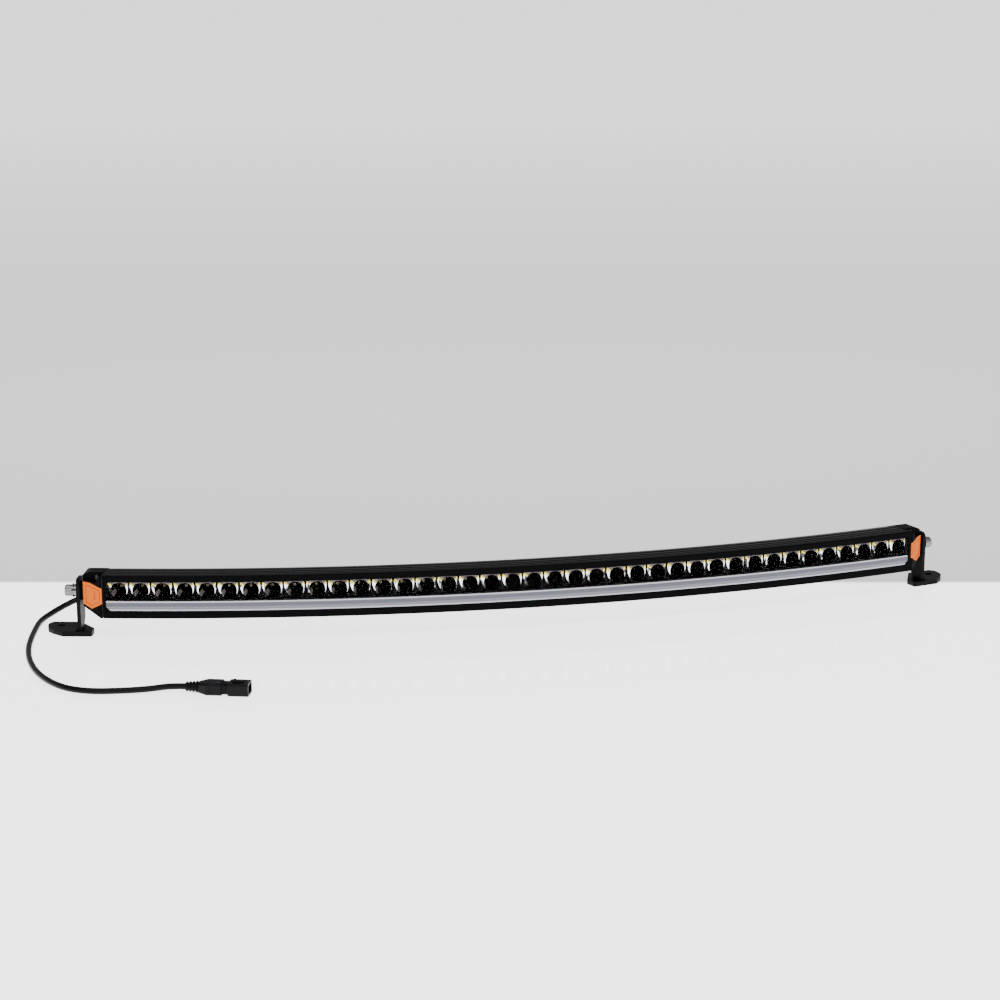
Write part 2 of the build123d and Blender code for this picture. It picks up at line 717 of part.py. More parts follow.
# ---- moulded body between the boot and the connector ----
body_length = 26.0
with BuildPart() as plug_body:
    with BuildSketch(plug_plane(boot_length)):
        RectangleRounded(11.5, 11.5, 3)
    with BuildSketch(plug_plane(boot_length + 9)):
        RectangleRounded(20, 14.2, 3)
    loft()
    with BuildSketch(plug_plane(boot_length + 9)):
        RectangleRounded(20, 14.2, 3)
    extrude(amount=body_length - 9)
    for side in (-1, 1):
        with BuildSketch(plug_plane(boot_length + 13)):
            with Locations((side * 10.2, 0)):
                Rectangle(1.6, 8)
        extrude(amount=3, mode=Mode.SUBTRACT)
save(plug_body, "plug_body")

# ---- connector shell: neck, then a socket open at the mouth ----
shell_start = boot_length + body_length
neck, mouth = 7.5, 30.0
socket_depth = 17.0
pin_r, pin_side = 1.2, 4.2       # radius, and distance from the middle of the socket
pin_root, pin_reach = 6.0, 8.5   # length in the floor of the socket and standing in it
with BuildPart() as connector_shell:
    with BuildSketch(plug_plane(shell_start)):
        RectangleRounded(16.5, 12.4, 2.5)
    extrude(amount=neck)
    with BuildSketch(plug_plane(shell_start + neck)):
        RectangleRounded(21, 14.2, 2.5)
    extrude(amount=mouth - neck)
    with BuildSketch(plug_plane(shell_start + mouth)):
        RectangleRounded(17, 10.4, 2)
    extrude(amount=-socket_depth, mode=Mode.SUBTRACT)
    for along in (2.0, 4.6):
        with BuildSketch(plug_plane(shell_start + along)):
            RectangleRounded(16.5, 12.4, 2.5)
            RectangleRounded(15, 10.9, 2, mode=Mode.SUBTRACT)
        extrude(amount=1.2, mode=Mode.SUBTRACT)
    for x in (-pin_side, pin_side):
        with BuildSketch(plug_plane(shell_start + mouth - socket_depth)):
            with Locations((x, 0)):
                Circle(pin_r + 0.05)
        extrude(amount=-pin_root, mode=Mode.SUBTRACT)
save(connector_shell, "connector_shell")

# ---- contact pins, seal and lock of the connector ----
with BuildPart() as connector_pins:
    for x in (-pin_side, pin_side):
        with BuildSketch(plug_plane(shell_start + mouth - socket_depth - pin_root)):
            with Locations((x, 0)):
                Circle(pin_r)
        extrude(amount=pin_root + pin_reach)
save(connector_pins, "connector_pins")

with BuildPart() as connector_seal:
    with BuildSketch(plug_plane(shell_start + mouth - socket_depth)):
        RectangleRounded(16.9, 10.3, 1.9)
        RectangleRounded(13.2, 6.6, 1.5, mode=Mode.SUBTRACT)
    extrude(amount=2.5)
save(connector_seal, "connector_seal")

with BuildPart() as connector_latch:
    with BuildSketch(plug_plane(shell_start + neck + 4, 7.1)):
        with Locations((0, 0.9)):
            Rectangle(7, 1.8)
    extrude(amount=12)
    with BuildSketch(plug_plane(shell_start + neck + 4, 7.1)):
        with Locations((0, 1.7)):
            Rectangle(7, 1.2)
    extrude(amount=3)
save(connector_latch, "connector_latch")
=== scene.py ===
"""Looks of a curved single-row LED light bar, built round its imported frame.

Metres, +Z up, front towards -Y. A place on the bar is given in millimetres, as in the solid model:
its length along the front arc from the middle, its depth behind the front face and its height above
the bar's underside.
"""
import json
import math
import bpy
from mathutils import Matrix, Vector


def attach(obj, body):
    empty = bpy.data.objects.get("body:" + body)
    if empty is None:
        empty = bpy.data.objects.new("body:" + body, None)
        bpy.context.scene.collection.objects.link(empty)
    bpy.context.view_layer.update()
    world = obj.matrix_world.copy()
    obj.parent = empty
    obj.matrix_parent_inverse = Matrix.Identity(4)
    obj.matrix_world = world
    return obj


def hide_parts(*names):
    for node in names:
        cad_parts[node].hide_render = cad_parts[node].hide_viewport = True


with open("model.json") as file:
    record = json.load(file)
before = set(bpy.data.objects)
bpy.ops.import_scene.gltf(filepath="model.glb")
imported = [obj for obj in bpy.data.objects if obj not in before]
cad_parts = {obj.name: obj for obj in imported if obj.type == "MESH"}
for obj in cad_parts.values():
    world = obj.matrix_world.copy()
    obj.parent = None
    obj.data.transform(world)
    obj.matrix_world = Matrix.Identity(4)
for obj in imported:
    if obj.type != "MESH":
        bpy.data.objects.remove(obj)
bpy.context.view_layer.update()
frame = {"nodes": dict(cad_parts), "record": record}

# ---- sizes shared with the solid model, in millimetres ----
MM = 0.001
cell_count, cell_pitch, modules = 39, 25.8, 3
front_radius = 2060.0
end_margin = 3.5
bar_base = 25.5
foot_corner = (71.0, 53.0)
pivot_depth, pivot_height = 28.0, 26.5
cup_front, cup_back, cup_height = 6.4, 31.0, 31.9
strip_low, strip_high = 9.4, 20.6
board_front = 31.3
window_half = cell_count * cell_pitch / 2
seam = (window_half + end_margin) / front_radius
total_depth = (front_radius * (1 - math.cos(seam)) + foot_corner[0] * math.sin(seam)
               + foot_corner[1] * math.cos(seam))
centre_y = front_radius - total_depth / 2
outward = Vector((math.cos(seam), math.sin(seam), 0))


def place(along, depth, height):
    """Point on the bar, in metres."""
    a, r = along / front_radius, front_radius - depth
    return Vector((r * math.sin(a), centre_y - r * math.cos(a), bar_base + height)) * MM


# ================= camera =================
camera_yaw, camera_pitch = 0.215, 0.23
camera = bpy.data.objects.new("camera", bpy.data.cameras.new("camera"))
camera.location = (-0.5760, -2.5140, 0.7458)
camera.data.lens = 79.2
camera.data.sensor_width = 36.0
view_dir = Vector((math.sin(camera_yaw) * math.cos(camera_pitch),
                   math.cos(camera_yaw) * math.cos(camera_pitch), -math.sin(camera_pitch)))
camera.rotation_euler = view_dir.to_track_quat("-Z", "Y").to_euler()
bpy.context.scene.collection.objects.link(camera)
bpy.context.scene.camera = camera


# ================= materials =================
def node_tree(name):
    material = bpy.data.materials.new(name)
    material.use_nodes = True
    return material, material.node_tree, material.node_tree.nodes["Principled BSDF"]


noise_low, noise_high = 0.3, 0.7    # where most of a noise texture's values lie
slow_grain = 60.0


def add_node(tree, kind, **values):
    node = tree.nodes.new(kind)
    for key, value in values.items():
        setattr(node, key, value)
    return node


def noise(tree, scale, stretch=(1, 1, 1), detail=3.0):
    """Noise in object space; scale is features per metre."""
    coords = add_node(tree, "ShaderNodeTexCoord")
    mapping = add_node(tree, "ShaderNodeMapping")
    mapping.inputs["Scale"].default_value = stretch
    texture = add_node(tree, "ShaderNodeTexNoise")
    texture.inputs["Scale"].default_value = scale
    texture.inputs["Detail"].default_value = detail
    tree.links.new(coords.outputs["Object"], mapping.inputs["Vector"])
    tree.links.new(mapping.outputs["Vector"], texture.inputs["Vector"])
    return texture.outputs["Fac"]


def ramp(tree, factor, stops):
    node = add_node(tree, "ShaderNodeValToRGB")
    elements = node.color_ramp.elements
    while len(elements) < len(stops):
        elements.new(0.5)
    for element, (position, colour) in zip(elements, stops):
        element.position = position
        element.color = (*colour, 1)
    tree.links.new(factor, node.inputs["Fac"])
    return node.outputs["Color"]


def map_range(tree, value, start, stop, low=0.0, high=1.0):
    """Value from start to stop turned into low to high."""
    node = add_node(tree, "ShaderNodeMapRange")
    node.inputs["From Min"].default_value = start
    node.inputs["From Max"].default_value = stop
    node.inputs["To Min"].default_value = low
    node.inputs["To Max"].default_value = high
    tree.links.new(value, node.inputs["Value"])
    return node.outputs["Result"]


def spread_value(tree, factor, low, high):
    """Noise factor turned into low to high."""
    return map_range(tree, factor, noise_low, noise_high, low, high)


def shade(colour, factor):
    return tuple(min(1.0, c * factor) for c in colour)


# Streaks: dark upright breaks in a painted glint, making ragged painted reflections.
streak_shape = (1, 1, 0.3)
streak_dark, streak_lit = 0.44, 0.485


def surface(name, colour, roughness, metallic=0.0, tone=0.15, uneven=0.06, grain=2500.0, relief=0.2,
            relief_depth=0.00005, stretch=(1, 1, 1), edge=0.0, specular=0.5, glow=0.0, streaks=0.0):
    """Material with slow tone and roughness changes, fine relief and, if asked, softened edges.

    With streaks, the colour is broken by dark upright streaks, that many to a metre.
    """
    material, tree, shader = node_tree(name)
    fine = noise(tree, grain, stretch, 4.0)
    if streaks:
        tint = ramp(tree, noise(tree, streaks, streak_shape, 1.0),
                    [(streak_dark, shade(colour, 0.02)), (streak_lit, colour)])
    else:
        tint = ramp(tree, noise(tree, slow_grain, stretch),
                    [(noise_low, shade(colour, 1 - tone)), (noise_high, shade(colour, 1 + tone))])
    tree.links.new(tint, shader.inputs["Base Color"])
    tree.links.new(spread_value(tree, fine, max(0.02, roughness - uneven), roughness + uneven),
                   shader.inputs["Roughness"])
    shader.inputs["Metallic"].default_value = metallic
    shader.inputs["Specular IOR Level"].default_value = specular
    # glow: the tint is also emitted, painted light on a surface that is no lamp.
    if glow:
        tree.links.new(tint, shader.inputs["Emission Color"])
        shader.inputs["Emission Strength"].default_value = glow
    bump = add_node(tree, "ShaderNodeBump")
    bump.inputs["Strength"].default_value = relief
    bump.inputs["Distance"].default_value = relief_depth
    tree.links.new(fine, bump.inputs["Height"])
    if edge:
        rounded = add_node(tree, "ShaderNodeBevel", samples=4)
        rounded.inputs["Radius"].default_value = edge
        tree.links.new(rounded.outputs["Normal"], bump.inputs["Normal"])
    tree.links.new(bump.outputs["Normal"], shader.inputs["Normal"])
    return material


def circuit_board(name, mask, copper):
    """Solder mask over tracks, with small pads showing through."""
    material, tree, shader = node_tree(name)
    coords = add_node(tree, "ShaderNodeTexCoord")
    tracks = add_node(tree, "ShaderNodeTexVoronoi", feature="DISTANCE_TO_EDGE", distance="CHEBYCHEV")
    tracks.inputs["Scale"].default_value = 260.0
    tree.links.new(coords.outputs["Object"], tracks.inputs["Vector"])
    tree.links.new(ramp(tree, tracks.outputs["Distance"],
                        [(0.0, copper), (0.03, copper), (0.06, mask), (1.0, shade(mask, 0.92))]),
                   shader.inputs["Base Color"])
    shader.inputs["Roughness"].default_value = 0.4
    bump = add_node(tree, "ShaderNodeBump")
    bump.inputs["Strength"].default_value = 0.3
    bump.inputs["Distance"].default_value = 0.00004
    tree.links.new(tracks.outputs["Distance"], bump.inputs["Height"])
    tree.links.new(bump.outputs["Normal"], shader.inputs["Normal"])
    return material


def milky_strip(name):
    """Light guide: painted highlights along the edges above and below, a dull band, then a paler ribbed
    band.
    """
    material, tree, shader = node_tree(name)
    coords = add_node(tree, "ShaderNodeTexCoord")
    split = add_node(tree, "ShaderNodeSeparateXYZ")
    tree.links.new(coords.outputs["Object"], split.inputs["Vector"])
    height = map_range(tree, split.outputs["Z"], (bar_base + strip_low) * MM, (bar_base + strip_high) * MM)
    edge_highlight, dull, middle = (0.52, 0.52, 0.57), (0.080, 0.080, 0.112), (0.165, 0.165, 0.20)
    colour = ramp(tree, height,
                  [(0.0, edge_highlight), (0.12, edge_highlight), (0.18, middle), (0.44, middle), (0.50, dull), (0.84, dull),
                   (0.90, edge_highlight)])
    tree.links.new(colour, shader.inputs["Base Color"])
    fine = noise(tree, 900.0, (1, 1, 6))
    tree.links.new(spread_value(tree, fine, 0.22, 0.38), shader.inputs["Roughness"])
    shader.inputs["Subsurface Weight"].default_value = 0.25
    shader.inputs["Subsurface Scale"].default_value = 0.003
    bump = add_node(tree, "ShaderNodeBump")
    bump.inputs["Strength"].default_value = 0.15
    bump.inputs["Distance"].default_value = 0.00005
    tree.links.new(fine, bump.inputs["Height"])
    tree.links.new(bump.outputs["Normal"], shader.inputs["Normal"])
    return material


def clear_lens(name):
    """Hard-coated polycarbonate with faint surface ripple."""
    material, tree, shader = node_tree(name)
    shader.inputs["Base Color"].default_value = (0.97, 0.98, 1.0, 1)
    shader.inputs["Transmission Weight"].default_value = 1.0
    shader.inputs["IOR"].default_value = 1.06
    ripple = noise(tree, 35.0, (1, 1, 3))
    tree.links.new(spread_value(tree, ripple, 0.0, 0.03), shader.inputs["Roughness"])
    return material


black = (0.0035, 0.0035, 0.0042)
materials = {
    "anodised": surface("anodised", black, 0.32, tone=0.25, grain=1800, relief=0.12,
                        edge=0.0004, specular=0.16),
    "bezel_black": surface("bezel_black", shade(black, 0.5), 0.42, tone=0.2, grain=2600,
                           relief=0.15, edge=0.0004, specular=0.02),
    "bracket_black": surface("bracket_black", black, 0.45, tone=0.2, grain=2200,
                             relief=0.2, edge=0.0006, specular=0.05),
    "clear_lens": clear_lens("clear_lens"),
    "seal": surface("seal", (0.012, 0.012, 0.012), 0.7, grain=3500),
    "seal_orange": surface("seal_orange", (0.75, 0.2, 0.03), 0.5, grain=3500),
    "milky_strip": milky_strip("milky_strip"),
    # Cup mirror made nearly black: a painted dark reflection, as if the cups mirrored dark surroundings.
    "reflector_chrome": surface("reflector_chrome", (0.022, 0.023, 0.026), 0.08, metallic=1.0, tone=0.1,
                                uneven=0.03, grain=700, relief=0.08),
    # Pale glowing rim over the upper part of each cup's mouth: painted highlight.
    "reflector_rim_painted_highlight": surface("reflector_rim_painted_highlight", (0.42, 0.43, 0.47), 0.3, metallic=0.4, grain=900, glow=0.3),
    # White glowing facets beside each cell's edge: painted glints, broken by dark streaks.
    "reflector_painted_glint": surface("reflector_painted_glint", (0.95, 0.95, 0.97), 0.25, grain=900, relief=0.2,
                               glow=2.4, streaks=330),
    # Dim warm glow on the upper flat corners and the lower left cup walls: painted reflection.
    "reflector_painted_warm_reflection": surface("reflector_painted_warm_reflection", (0.20, 0.17, 0.16), 0.3, metallic=0.3, tone=0.4,
                              grain=900, glow=0.35),
    # Near-black plate in each cell's groove and lower flat corners: painted shade.
    "reflector_painted_shade": surface("reflector_painted_shade", shade(black, 0.4), 0.3, grain=1500, relief=0.1,
                               specular=0.04),
    "board_white": circuit_board("board_white", (0.75, 0.75, 0.72), (0.55, 0.5, 0.4)),
    "board_green": circuit_board("board_green", (0.02, 0.16, 0.06), (0.05, 0.3, 0.12)),
    "pad_grey": surface("pad_grey", (0.35, 0.37, 0.4), 0.75, grain=3000),
    "phosphor": surface("phosphor", (0.40, 0.32, 0.02), 0.35, grain=5000, tone=0.1),
    # Yellow glow on the flat corners beside the glints: painted reflection of the LEDs.
    "reflector_painted_led_reflection": surface("reflector_painted_led_reflection", (0.85, 0.70, 0.0), 0.35, grain=900, tone=0.1, glow=0.9),
    "component_black": surface("component_black", (0.02, 0.02, 0.02), 0.5, grain=3000),
    "brass_post": surface("brass_post", (0.7, 0.5, 0.2), 0.3, metallic=1.0, stretch=(1, 1, 8)),
    "gland_black": surface("gland_black", (0.016, 0.016, 0.016), 0.45, grain=3000, edge=0.0004),
    "wire_red": surface("wire_red", (0.45, 0.02, 0.02), 0.4, grain=2500),
    "cord_jacket": surface("cord_jacket", black, 0.4, tone=0.2, grain=2400, relief=0.15, specular=0.09),
    "plug_black": surface("plug_black", black, 0.4, grain=2800, relief=0.15, edge=0.0004, specular=0.09),
    "pin_tin": surface("pin_tin", (0.72, 0.71, 0.69), 0.25, metallic=1.0, stretch=(6, 6, 1)),
    "orange_insert": surface("orange_insert", (0.72, 0.128, 0.0), 0.36, tone=0.08, grain=1500,
                             relief=0.12, edge=0.0004, specular=0.08),
    "screw_steel": surface("screw_steel", (0.03, 0.03, 0.033), 0.35, metallic=0.8, grain=2500),
    "stainless": surface("stainless", (0.22, 0.21, 0.20), 0.17, metallic=1.0, tone=0.1, uneven=0.1,
                         grain=1600, relief=0.3, stretch=(8, 8, 1)),
}

for entry in frame["record"]["subparts"]:
    node = frame["nodes"][entry["node"]]
    if not node.data.materials:
        node.data.materials.append(None)
    for material_slot in node.material_slots:
        material_slot.link = "OBJECT"
        material_slot.material = materials[entry["material_slot"]]


# ================= pieces =================
def mesh_piece(name, points, faces, slot, body, *nodes, smooth=True):
    """New mesh in the row frame that rides on a body and stands for CAD nodes."""
    mesh = bpy.data.meshes.new(name)
    mesh.from_pydata([tuple(p) for p in points], [], faces)
    mesh.validate()
    mesh.polygons.foreach_set("use_smooth", [smooth] * len(mesh.polygons))
    mesh.materials.append(materials[slot])
    piece = bpy.data.objects.new(name, mesh)
    bpy.context.scene.collection.objects.link(piece)
    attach(piece, body)
    if nodes:
        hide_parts(*nodes)
    return piece


def lathe(rows, origin, axis, up=Vector((0, 0, 1)), segments=96):
    """Points and faces turned about an axis. Each row is (distance along, radius or radius of angle)."""
    side = up.cross(axis).normalized()
    top = axis.cross(side)
    points, faces = [], []
    for along, radius in rows:
        for j in range(segments):
            t = 2 * math.pi * j / segments
            r = radius(t) if callable(radius) else radius
            points.append(origin + (axis * along + side * math.cos(t) * r + top * math.sin(t) * r) * MM)
    for i in range(len(rows) - 1):
        for j in range(segments):
            k = (j + 1) % segments
            a, b = i * segments, (i + 1) * segments
            faces.append((a + j, a + k, b + k, b + j))
    faces.append(tuple(reversed(range(segments))))
    faces.append(tuple(range((len(rows) - 1) * segments, len(rows) * segments)))
    return points, faces


# ---- supply lead: out of the gland, down behind the left foot, round it and to the front ----
gland_along = -(window_half + end_margin - 24.0)
gland_depth, gland_height = 60.0, 14.0
cord_exit = place(gland_along, gland_depth, gland_height)
exit_angle = gland_along / front_radius
exit_dir = Vector((-math.sin(exit_angle), math.cos(exit_angle), 0))
plug_turn = math.radians(-18.0)
plug_dir = Vector((math.cos(plug_turn), math.sin(plug_turn), 0))
plug_start = Vector((-0.4240, -0.2230, 0.0072))
route = [
    cord_exit,
    cord_exit + exit_dir * 0.020,
    Vector((-0.4644, 0.0928, 0.0370)),
    Vector((-0.4808, 0.1116, 0.0315)),
    Vector((-0.5062, 0.1209, 0.0240)),
    Vector((-0.5351, 0.1189, 0.0145)),
    Vector((-0.5575, 0.1045, 0.0068)),
    Vector((-0.5734, 0.0804, 0.0038)),
    Vector((-0.5795, 0.0465, 0.0036)),
    Vector((-0.5850, 0.0090, 0.0036)),
    Vector((-0.5890, -0.0340, 0.0036)),
    Vector((-0.5880, -0.0800, 0.0036)),
    Vector((-0.5810, -0.1250, 0.0036)),
    Vector((-0.5675, -0.1640, 0.0036)),
    Vector((-0.5490, -0.1930, 0.0036)),
    Vector((-0.5230, -0.2085, 0.0036)),
    Vector((-0.4890, -0.2130, 0.0036)),
    Vector((-0.4610, -0.2135, 0.0038)),
    plug_start - plug_dir * 0.016,
    plug_start,
]
cord_curve = bpy.data.curves.new("supply_lead", "CURVE")
cord_curve.dimensions = "3D"
cord_curve.bevel_depth = 0.0035
cord_curve.bevel_resolution = 6
cord_curve.resolution_u = 10
cord_curve.use_fill_caps = True
spline = cord_curve.splines.new("NURBS")
spline.points.add(len(route) - 1)
for point, where in zip(spline.points, route):
    point.co = (*where, 1)
spline.order_u = 3
spline.use_endpoint_u = True
cord_curve.materials.append(materials["cord_jacket"])
cord = bpy.data.objects.new("supply_lead", cord_curve)
bpy.context.scene.collection.objects.link(cord)
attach(cord, "bar")
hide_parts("cord")

# ---- ribbed boot: tapered sleeve with rounded ribs ----
boot_rows = [(0.0, 3.9), (0.3, 4.4), (0.9, 4.45)]
for i in range(4):
    low, crown = 1.2 + 3.6 * i, 5.5 + 0.35 * i
    valley = 4.5 + 0.18 * i
    boot_rows += [(low, valley), (low + 0.2, crown - 0.25), (low + 0.5, crown), (low + 1.5, crown),
                  (low + 1.8, crown - 0.25), (low + 2.0, valley)]
boot_rows += [(15.0, 5.2)]
boot = mesh_piece("ribbed_boot", *lathe(boot_rows, plug_start, plug_dir, segments=64),
                  "cord_jacket", "bar", "plug_boot")

# ---- reflectors: faceted cups with flat corners between their mouths ----
cell_half, face_half = cell_pitch / 2, 10.9
mouth_half, mouth_rise, root_r = 9.6, 9.6, 1.7
mouth_shift = 1.3   # the mouths sit off the middle of their cells
# Groove round each cell, darkened with painted shade: its share of the flat corner above gap_top, and
# gap_span lower down.
gap_share, gap_low, gap_sink = 0.28, 0.9, 0.8
gap_top, gap_span = 5.0, 9.0
module_gap = 0.2
sectors = 40
cup_stops = (0.0, 0.035, 0.12, 0.26, 0.42, 0.6, 0.8, 1.0)   # from the mouth to the root
directions = [2 * math.pi * (j + 0.5) / sectors for j in range(sectors)]


def mouth_point(t, blend):
    """Point of the cup's outline: a soft square at the mouth (blend 1), a circle at the root (0)."""
    power = 2 + 0.25 * blend
    a = root_r + (mouth_half - root_r) * blend
    b = root_r + (mouth_rise - root_r) * blend
    c, s = math.cos(t), math.sin(t)
    r = (abs(c / a) ** power + abs(s / b) ** power) ** (-1 / power)
    return r * c + mouth_shift * blend, r * s


def border_point(t):
    """Point of the cell's rectangle in the same direction."""
    c, s = math.cos(t), math.sin(t)
    r = min(cell_half / max(abs(c), 1e-6), face_half / max(abs(s), 1e-6))
    return r * c, r * s


border = [border_point(t) for t in directions]
for u in (-cell_half, cell_half):
    for v in (-face_half, face_half):
        nearest = min(range(sectors), key=lambda j: math.hypot(border[j][0] - u, border[j][1] - v))
        border[nearest] = (u, v)


facet_slots = ("reflector_chrome", "reflector_rim_painted_highlight", "reflector_painted_glint", "reflector_painted_warm_reflection",
               "reflector_painted_led_reflection", "reflector_painted_shade")
# Degrees round a cell, anticlockwise from the right, between which each painted glint, highlight and
# reflection lies; elsewhere the groove and flat corners take painted shade.
corner_looks = ((0, 30, "reflector_painted_glint"), (30, 44, "reflector_painted_led_reflection"), (44, 138, "reflector_painted_warm_reflection"),
                (138, 146, "reflector_painted_led_reflection"), (146, 206, "reflector_painted_glint"),
                (340, 360, "reflector_painted_glint"))
mouth_looks = ((40, 165, "reflector_rim_painted_highlight"),)
wall_looks = ((196, 232, "reflector_painted_warm_reflection"),)
band_looks = ((), corner_looks, mouth_looks, wall_looks, wall_looks, wall_looks)


def facet_look(band, t):
    """Index of a facet's material, by its band from the face inwards and its direction."""
    angle = math.degrees(t) % 360
    if band < len(band_looks):
        for start, stop, slot in band_looks[band]:
            if start <= angle < stop:
                return facet_slots.index(slot)
    return facet_slots.index("reflector_painted_shade" if band < 2 else "reflector_chrome")


def reflector(module, name):
    """One moulded row of cups, with closed outer sides."""
    points, faces, looks = [], [], []
    per_module = cell_count // modules
    for n in range(per_module):
        centre = (module * per_module + n - (cell_count - 1) / 2) * cell_pitch
        low = -cell_half + (module_gap if n == 0 else 0)
        high = cell_half - (module_gap if n == per_module - 1 else 0)
        edge = [(min(max(u, low), high), v) for u, v in border]
        start = len(points)
        mouth = [mouth_point(a, 1) for a in directions]
        groove = []
        for (u, v), (p, q) in zip(edge, mouth):
            share = gap_share + (gap_low - gap_share) * min(max((gap_top - v) / gap_span, 0), 1)
            groove.append((u + (p - u) * share, v + (q - v) * share))
        rings = [(cup_front, edge), (cup_front + gap_sink, groove)]
        for t in cup_stops:
            depth = cup_front + (cup_back - cup_front) * (1 - (1 - t) ** 2)
            rings.append((depth, [mouth_point(a, 1 - t) for a in directions]))
        rings.append((cup_back, edge))
        for depth, ring in rings:
            points += [place(centre + u, depth, cup_height + v) for u, v in ring]
        for i in range(len(rings) - 1):
            for j in range(sectors):
                k = (j + 1) % sectors
                a, b = start + i * sectors, start + (i + 1) * sectors
                faces.append((a + j, a + k, b + k, b + j))
                looks.append(facet_look(i, directions[j] + math.pi / sectors))
        last = start + (len(rings) - 1) * sectors
        for j in range(sectors):
            k = (j + 1) % sectors
            (u, v), (u2, v2) = edge[j], edge[k]
            outer = (v == v2 and abs(v) == face_half) or (u == u2 == low and n == 0) or (
                u == u2 == high and n == per_module - 1)
            if outer:
                faces.append((start + k, start + j, last + j, last + k))
                looks.append(facet_slots.index("reflector_chrome"))
    piece = mesh_piece(f"{name}_cups", points, faces, facet_slots[0], "bar", f"{name}_reflector",
                       smooth=False)
    for slot in facet_slots[1:]:
        piece.data.materials.append(materials[slot])
    piece.data.polygons.foreach_set("material_index", looks)


for module, name in enumerate(("left", "middle", "right")):
    reflector(module, name)

# ---- emitters: square base with a phosphor dome ----
points, faces, dome_faces = [], [], []
base_half, base_front, dome_r = 1.75, 31.0, 1.45
for n in range(cell_count):
    centre = (n - (cell_count - 1) / 2) * cell_pitch
    start = len(points)
    for depth in (base_front, board_front - 0.02):
        points += [place(centre + u, depth, cup_height + v)
                   for u, v in ((-base_half, -base_half), (base_half, -base_half),
                                (base_half, base_half), (-base_half, base_half))]
    faces += [(start, start + 1, start + 2, start + 3), (start + 7, start + 6, start + 5, start + 4)]
    faces += [(start + j, start + 4 + j, start + 4 + (j + 1) % 4, start + (j + 1) % 4) for j in range(4)]
    start = len(points)
    for row in range(4):
        a = row * math.pi / 8
        points += [place(centre + dome_r * math.cos(a) * math.cos(t),
                         base_front + 0.03 - 0.4 * math.sin(a),
                         cup_height + dome_r * math.cos(a) * math.sin(t))
                   for t in (2 * math.pi * j / 16 for j in range(16))]
    for row in range(3):
        for j in range(16):
            k = (j + 1) % 16
            a, b = start + row * 16, start + (row + 1) * 16
            dome_faces.append((a + j, b + j, b + k, a + k))
    dome_faces += [tuple(start + 48 + j for j in range(16)), tuple(start + j for j in reversed(range(16)))]
emitters = mesh_piece("emitters", points, faces + dome_faces, "phosphor", "bar", "leds", smooth=False)
emitters.data.materials.append(materials["board_white"])
for polygon in emitters.data.polygons[:len(faces)]:
    polygon.material_index = 1

# ---- pivot hardware ----
boss_reach, arm_thick, play = 30.0, 4.5, 0.02
washer_thick, spring_thick, flange_thick, head_height = 2.0, 2.5, 2.0, 8.6
shank_r, flange_r, head_r, hex_r = 4.0, 8.2, 6.8, 3.4
spring_at = boss_reach + play + arm_thick + play + washer_thick
head_at = spring_at + spring_thick
pivot = Vector((front_radius * math.sin(seam) - pivot_depth * math.sin(seam),
                centre_y - (front_radius - pivot_depth) * math.cos(seam), bar_base + pivot_height)) * MM


def knurl(t):
    return head_r - 0.18 * (1 - abs(math.cos(24 * t)))


def hexagon(t):
    step = math.pi / 3
    return hex_r * math.cos(step / 2) / math.cos((t % step) - step / 2)


def spring_ring(origin, axis):
    """Split ring of square section that climbs a little round its turn."""
    side = Vector((0, 0, 1)).cross(axis).normalized()
    top = axis.cross(side)
    inner, outer, thick, climb, turns = 4.3, 7.35, 1.9, 0.55, 60
    sweep = math.radians(350)
    points, faces = [], []
    for j in range(turns + 1):
        t = math.radians(30) + sweep * j / turns
        lift = climb * j / turns
        for radius, along in ((inner, lift), (outer, lift), (outer, lift + thick), (inner, lift + thick)):
            points.append(origin + (axis * along + side * math.cos(t) * radius
                                    + top * math.sin(t) * radius) * MM)
    for j in range(turns):
        for k in range(4):
            faces.append((4 * j + k, 4 * j + (k + 1) % 4, 4 * j + 4 + (k + 1) % 4, 4 * j + 4 + k))
    faces += [(3, 2, 1, 0), tuple(4 * turns + k for k in range(4))]
    return points, faces


for name, sign in (("left", -1), ("right", 1)):
    axis = Vector((sign * outward.x, outward.y, 0))
    seat = Vector((sign * pivot.x, pivot.y, pivot.z))
    end = head_at + flange_thick + head_height
    bolt_rows = [(15.0, shank_r - 0.4), (15.4, shank_r), (head_at, shank_r), (head_at, flange_r - 0.3),
                 (head_at + 0.3, flange_r), (head_at + flange_thick - 0.5, flange_r),
                 (head_at + flange_thick, head_r + 0.5), (head_at + flange_thick + 0.1, head_r - 0.15),
                 (head_at + flange_thick + 0.4, knurl), (end - 1.4, knurl), (end - 0.9, head_r - 0.15),
                 (end - 0.25, head_r - 0.45), (end, head_r - 1.0), (end, lambda t: hexagon(t) + 0.35),
                 (end - 0.35, hexagon), (end - 4.2, hexagon)]
    mesh_piece(f"{name}_pivot_bolt", *lathe(bolt_rows, seat, axis, segments=144), "stainless", "bar",
               f"{name}_bolt", smooth=False)
    mesh_piece(f"{name}_split_ring", *spring_ring(seat + axis * spring_at * MM, axis), "stainless", "bar",
               f"{name}_spring_washer", smooth=False)

# ================= stage =================
# The floor is white in front and grey behind, along one line across the view behind the bar.
floor_half = 250.0
grey_start, grey_soft, paler_span = 2.722, 0.006, 9.0
paler_weight, grey_stop = 0.5, 0.66


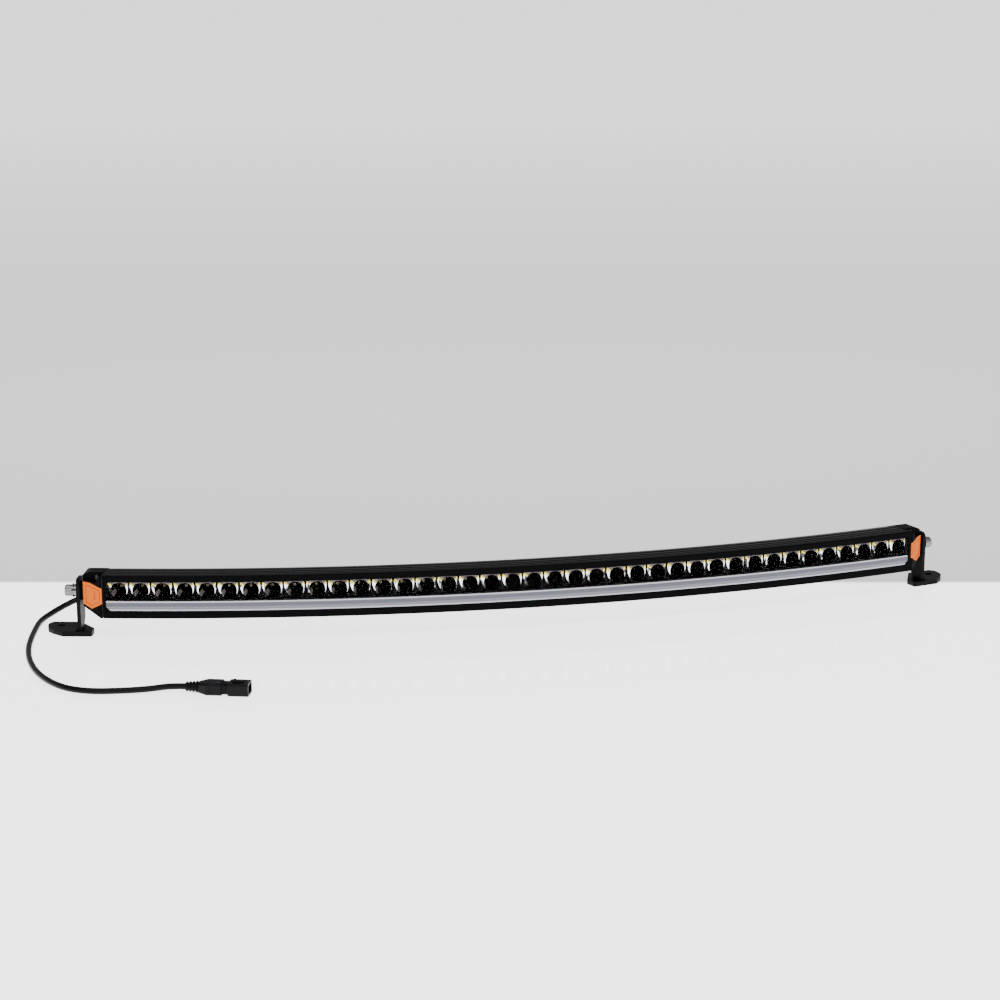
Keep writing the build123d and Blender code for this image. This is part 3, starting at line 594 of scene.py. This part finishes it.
def studio_floor(name):
    """Glossy floor: white up to the line, grey beyond it, and paler again further away."""
    material, tree, shader = node_tree(name)
    along_view = Vector((math.sin(camera_yaw), math.cos(camera_yaw), 0))
    line = camera.location.dot(along_view) + grey_start
    coords = add_node(tree, "ShaderNodeTexCoord")
    distance = add_node(tree, "ShaderNodeVectorMath", operation="DOT_PRODUCT")
    distance.inputs[1].default_value = along_view
    tree.links.new(coords.outputs["Object"], distance.inputs[0])
    total = add_node(tree, "ShaderNodeMath", operation="MULTIPLY_ADD")
    total.inputs[1].default_value = paler_weight
    tree.links.new(map_range(tree, distance.outputs["Value"], line, line + paler_span), total.inputs[0])
    tree.links.new(map_range(tree, distance.outputs["Value"], line - grey_soft, line + grey_soft),
                   total.inputs[2])
    share = add_node(tree, "ShaderNodeMath", operation="MULTIPLY")
    share.inputs[1].default_value = 1 / (1 + paler_weight)
    tree.links.new(total.outputs["Value"], share.inputs[0])
    base = ramp(tree, share.outputs["Value"],
                [(0.0, (1.0, 1.0, 1.0)), (grey_stop, (0.45, 0.45, 0.455)), (1.0, (0.62, 0.62, 0.625))])
    glow = ramp(tree, share.outputs["Value"],
                [(0.0, (1.0, 1.0, 1.0)), (grey_stop, (0.29, 0.29, 0.292)), (1.0, (0.52, 0.52, 0.522))])
    tree.links.new(base, shader.inputs["Base Color"])
    tree.links.new(glow, shader.inputs["Emission Color"])
    shader.inputs["Emission Strength"].default_value = 2.4
    shader.inputs["Roughness"].default_value = 0.1
    shader.inputs["Specular IOR Level"].default_value = 1.0
    shader.inputs["IOR"].default_value = 1.7
    return material


floor_mesh = bpy.data.meshes.new("floor")
floor_mesh.from_pydata([(-floor_half, -floor_half, 0), (floor_half, -floor_half, 0),
                        (floor_half, floor_half, 0), (-floor_half, floor_half, 0)], [], [(0, 1, 2, 3)])
floor = bpy.data.objects.new("floor", floor_mesh)
bpy.context.scene.collection.objects.link(floor)
floor_mesh.materials.append(studio_floor("floor"))


def softbox(name, where, aim, size, size_y, energy):
    light = bpy.data.lights.new(name, "AREA")
    light.shape = "RECTANGLE"
    light.size, light.size_y, light.energy = size, size_y, energy
    lamp = bpy.data.objects.new(name, light)
    lamp.location = where
    lamp.rotation_euler = (Vector(aim) - Vector(where)).to_track_quat("-Z", "Y").to_euler()
    bpy.context.scene.collection.objects.link(lamp)
    return lamp


softbox("key", (-0.5, -1.5, 2.4), (0, 0, 0), 2.6, 1.2, 50)
softbox("fill", (1.8, -1.6, 1.2), (0, 0, 0.05), 1.2, 1.2, 8)
rim_lamp = softbox("rim", (0.2, 1.6, 1.5), (0, 0, 0.05), 2.6, 0.6, 25)
rim_lamp.visible_glossy = False
world = bpy.data.worlds.new("studio")
world.use_nodes = True
world.node_tree.nodes["Background"].inputs["Color"].default_value = (0.86, 0.87, 0.9, 1)
world.node_tree.nodes["Background"].inputs["Strength"].default_value = 0.55
bpy.context.scene.world = world
